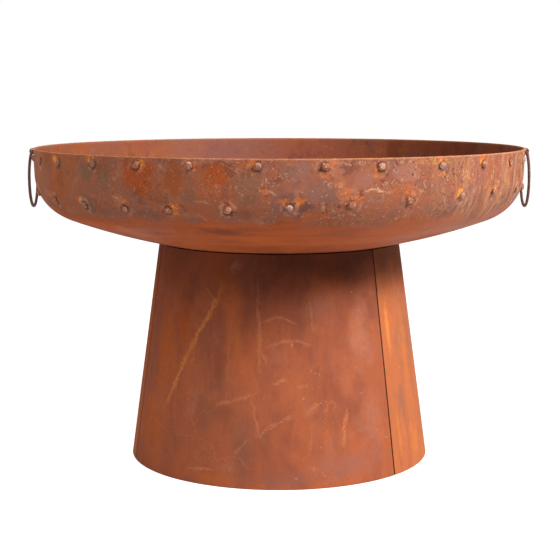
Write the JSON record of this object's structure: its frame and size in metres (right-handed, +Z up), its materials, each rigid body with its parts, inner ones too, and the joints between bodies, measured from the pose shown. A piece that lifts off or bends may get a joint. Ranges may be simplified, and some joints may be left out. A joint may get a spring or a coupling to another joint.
{
  "type": "fire pit",
  "caption": "Round riveted fire bowl of rusted steel on a conical panelled base, with hanging ring handles and a lift-out fire grate.",
  "frame": {"origin": "centre of the cone base's foot circle, at floor level", "axes": "+Z up along the axis of the bowl and the cone, -Y towards the front view, +X to its right"},
  "size_m": [0.819, 0.8078, 0.51],
  "materials": {
    "rusted_bowl": "matte",
    "rusted_panel": "matte",
    "rusted_rivet": "matte",
    "rusted_bar": "matte",
    "fastener_steel": "matte",
    "dark_iron": "matte",
    "burnt_grate": "matte"
  },
  "bodies": {
    "base": {"base_panel_front": "rusted_panel", "base_panel_left": "rusted_panel", "base_panel_right": "rusted_panel", "seat_ring": "rusted_bar", "seam_bolts": "fastener_steel", "seam_nuts": "fastener_steel", "seam_washers": "fastener_steel"},
    "bowl": {"bowl_shell": "rusted_bowl", "upper_rivets": "rusted_rivet", "lower_rivets": "rusted_rivet", "clip_rivets": "rusted_rivet", "locating_lugs": "rusted_bar", "ring_clip_left": "dark_iron", "ring_clip_right": "dark_iron"},
    "ring_left": {"ring_handle_left": "dark_iron"},
    "ring_right": {"ring_handle_right": "dark_iron"},
    "grate": {"grate_hoop": "burnt_grate", "grate_bars": "burnt_grate", "grate_cross_bar_front": "burnt_grate", "grate_cross_bar_back": "burnt_grate", "grate_loop_left": "burnt_grate", "grate_loop_right": "burnt_grate"}
  },
  "joints": [
    {"name": "bowl_lift", "type": "slide", "parent": "base", "child": "bowl", "axis": [0, 0, 1], "range_m": [0, 0.12]},
    {"name": "grate_lift", "type": "slide", "parent": "bowl", "child": "grate", "axis": [0, 0, 1], "range_m": [0, 0.16]},
    {"name": "ring_left_swing", "type": "hinge", "parent": "bowl", "child": "ring_left", "pos_m": [-0.4044, -0.01412, 0.50332], "axis": [-0.0349, 0.9994, 0], "range_deg": [-4, 175]},
    {"name": "ring_right_swing", "type": "hinge", "parent": "bowl", "child": "ring_right", "pos_m": [0.4044, -0.01412, 0.50332], "axis": [-0.0349, -0.9994, 0], "range_deg": [-4, 175]}
  ]
}
